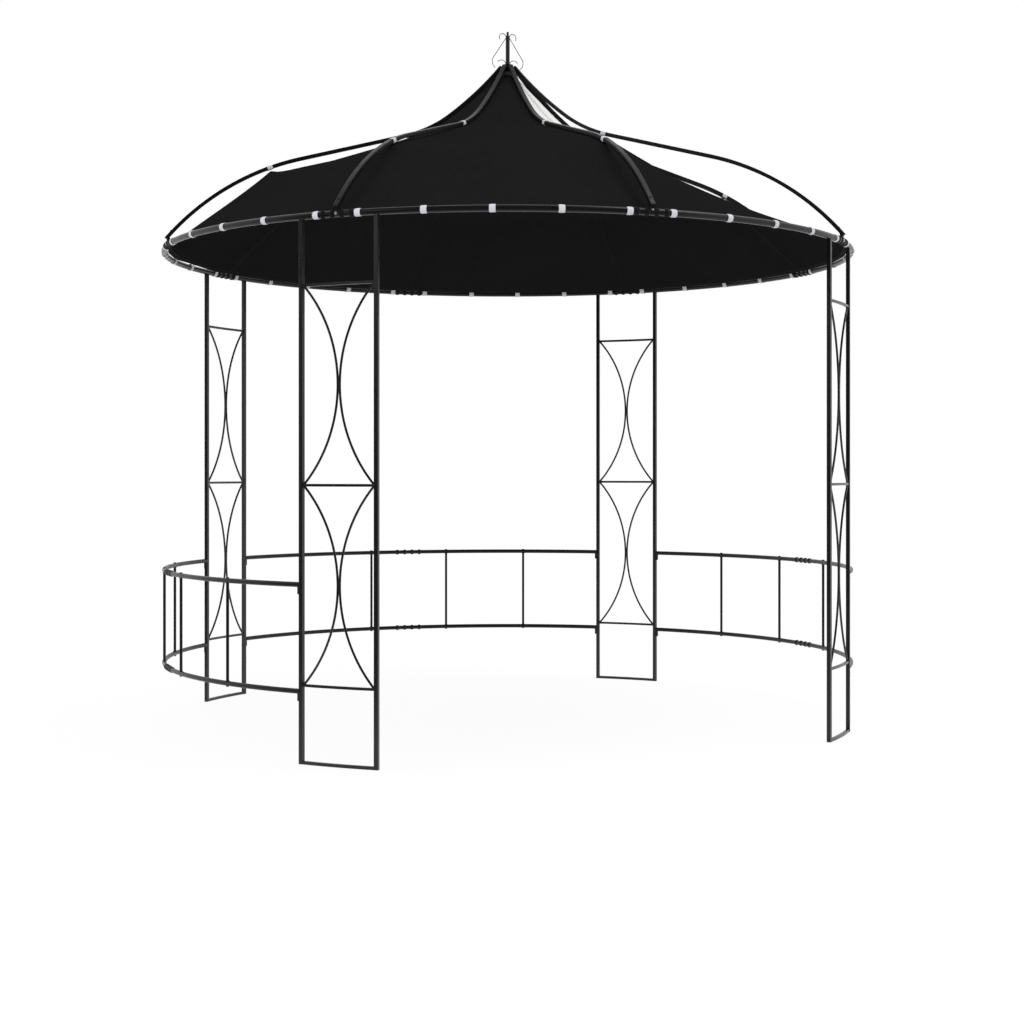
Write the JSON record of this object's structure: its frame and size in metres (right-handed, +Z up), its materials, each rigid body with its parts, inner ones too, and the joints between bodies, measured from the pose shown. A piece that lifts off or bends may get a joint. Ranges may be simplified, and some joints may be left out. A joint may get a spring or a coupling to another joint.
{
  "type": "round garden gazebo",
  "caption": "Round garden gazebo with lattice posts, curved railings, an eaves ring, ogee roof ribs and a cloth roof strapped under the ribs.",
  "frame": {"origin": "on the ground at the centre of the round plan", "axes": "+Z up, the open front bay faces -Y, +X to the right of a person who looks in through the front bay"},
  "size_m": [3.0114, 3.0114, 3.0183],
  "materials": {
    "post_paint": "satin",
    "ring_paint": "satin",
    "joint_paint": "satin",
    "rib_paint": "satin",
    "railing_paint": "satin",
    "top_paint": "satin",
    "roof_cloth": "matte"
  },
  "bodies": {
    "root": {"front_left_post_lower": "post_paint", "front_left_post_upper": "post_paint", "front_right_post_lower": "post_paint", "front_right_post_upper": "post_paint", "back_right_post_lower": "post_paint", "back_right_post_upper": "post_paint", "back_left_post_lower": "post_paint", "back_left_post_upper": "post_paint", "ring_right_of_front": "ring_paint", "ring_front_of_right": "ring_paint", "ring_back_of_right": "ring_paint", "ring_right_of_back": "ring_paint", "ring_left_of_back": "ring_paint", "ring_back_of_left": "ring_paint", "ring_front_of_left": "ring_paint", "ring_left_of_front": "ring_paint", "ring_joint_right": "joint_paint", "ring_joint_back_right": "joint_paint", "ring_joint_back": "joint_paint", "ring_joint_back_left": "joint_paint", "ring_joint_left": "joint_paint", "ring_joint_front_left": "joint_paint", "ring_joint_front": "joint_paint", "ring_joint_front_right": "joint_paint", "rib_right": "rib_paint", "rib_back_right": "rib_paint", "rib_back": "rib_paint", "rib_back_left": "rib_paint", "rib_left": "rib_paint", "rib_front_left": "rib_paint", "rib_front": "rib_paint", "rib_front_right": "rib_paint", "right_railing_front_half": "railing_paint", "right_railing_back_half": "railing_paint", "back_railing_right_half": "railing_paint", "back_railing_left_half": "railing_paint", "left_railing_back_half": "railing_paint", "left_railing_front_half": "railing_paint", "roof_hub": "top_paint", "finial": "top_paint", "canopy": "roof_cloth"}
  },
  "joints": []
}
